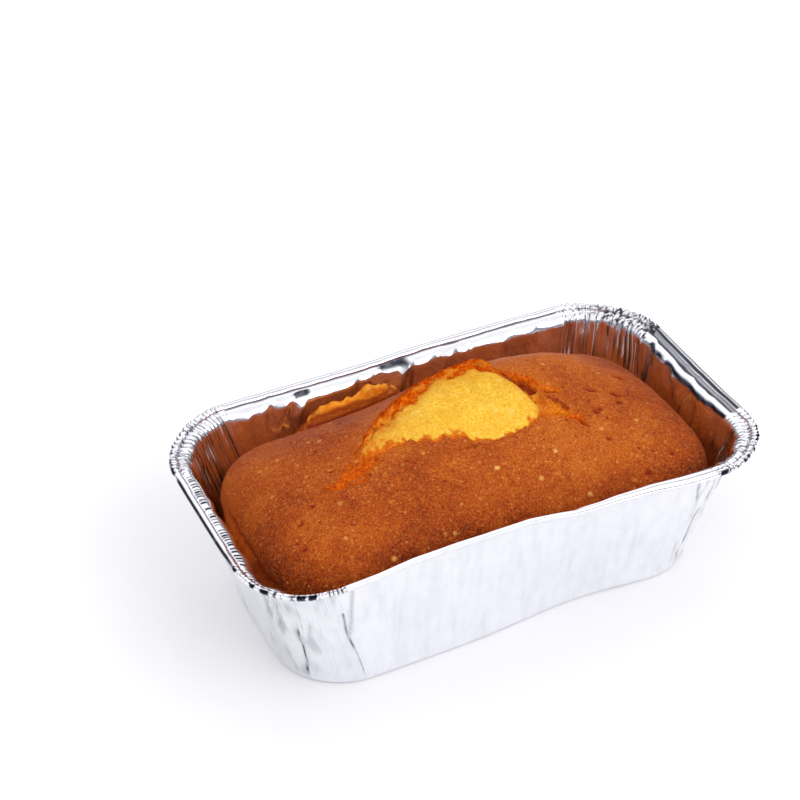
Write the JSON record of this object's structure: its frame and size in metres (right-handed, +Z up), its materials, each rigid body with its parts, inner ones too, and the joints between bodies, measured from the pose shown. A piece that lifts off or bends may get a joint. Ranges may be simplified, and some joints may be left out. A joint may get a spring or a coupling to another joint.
{
  "type": "pound cake",
  "caption": "Pound cake in its foil loaf tin: domed brown crust split open along the top to yellow crumb, in a thin tapered tin with a rolled rim and pleated corners.",
  "frame": {"origin": "middle of the tin's floor underside, on the surface it stands on", "axes": "+X along the loaf, +Y from the dented long side towards the back, +Z up"},
  "size_m": [0.1998, 0.1204, 0.0791],
  "materials": {
    "cake_crust": "matt baked crust",
    "foil": "bright rolled foil"
  },
  "bodies": {
    "root": {"cake": "cake_crust", "foil_tin": "foil"}
  },
  "joints": []
}
